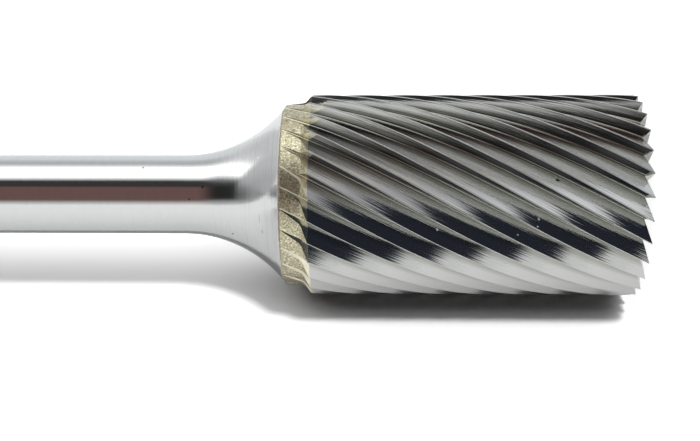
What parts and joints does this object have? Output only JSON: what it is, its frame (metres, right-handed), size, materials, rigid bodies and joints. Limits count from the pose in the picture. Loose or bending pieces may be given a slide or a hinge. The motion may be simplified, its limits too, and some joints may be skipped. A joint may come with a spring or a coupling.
{
  "type": "carbide burr",
  "caption": "Cylindrical carbide burr: a spiral-fluted head with end teeth, brazed to a round steel shank for a die grinder's collet.",
  "frame": {"origin": "centre of the head's end, in the plane of the end teeth's crests that it stands on", "axes": "+Z along the burr's axis, from the head's end up to the shank; X and Y across it"},
  "size_m": [0.016, 0.016, 0.0698],
  "materials": {
    "steel": "ground and polished bright steel, with fine turning marks round the neck",
    "braze": "pale gold brazing alloy, satin with fine pores on the band and bright where the flutes were ground",
    "carbide": "ground tungsten carbide, mirror bright with fine grinding lines along the flutes"
  },
  "bodies": {
    "root": {"steel_shank": "steel", "braze_joint": "braze", "carbide_head": "carbide"}
  },
  "joints": []
}
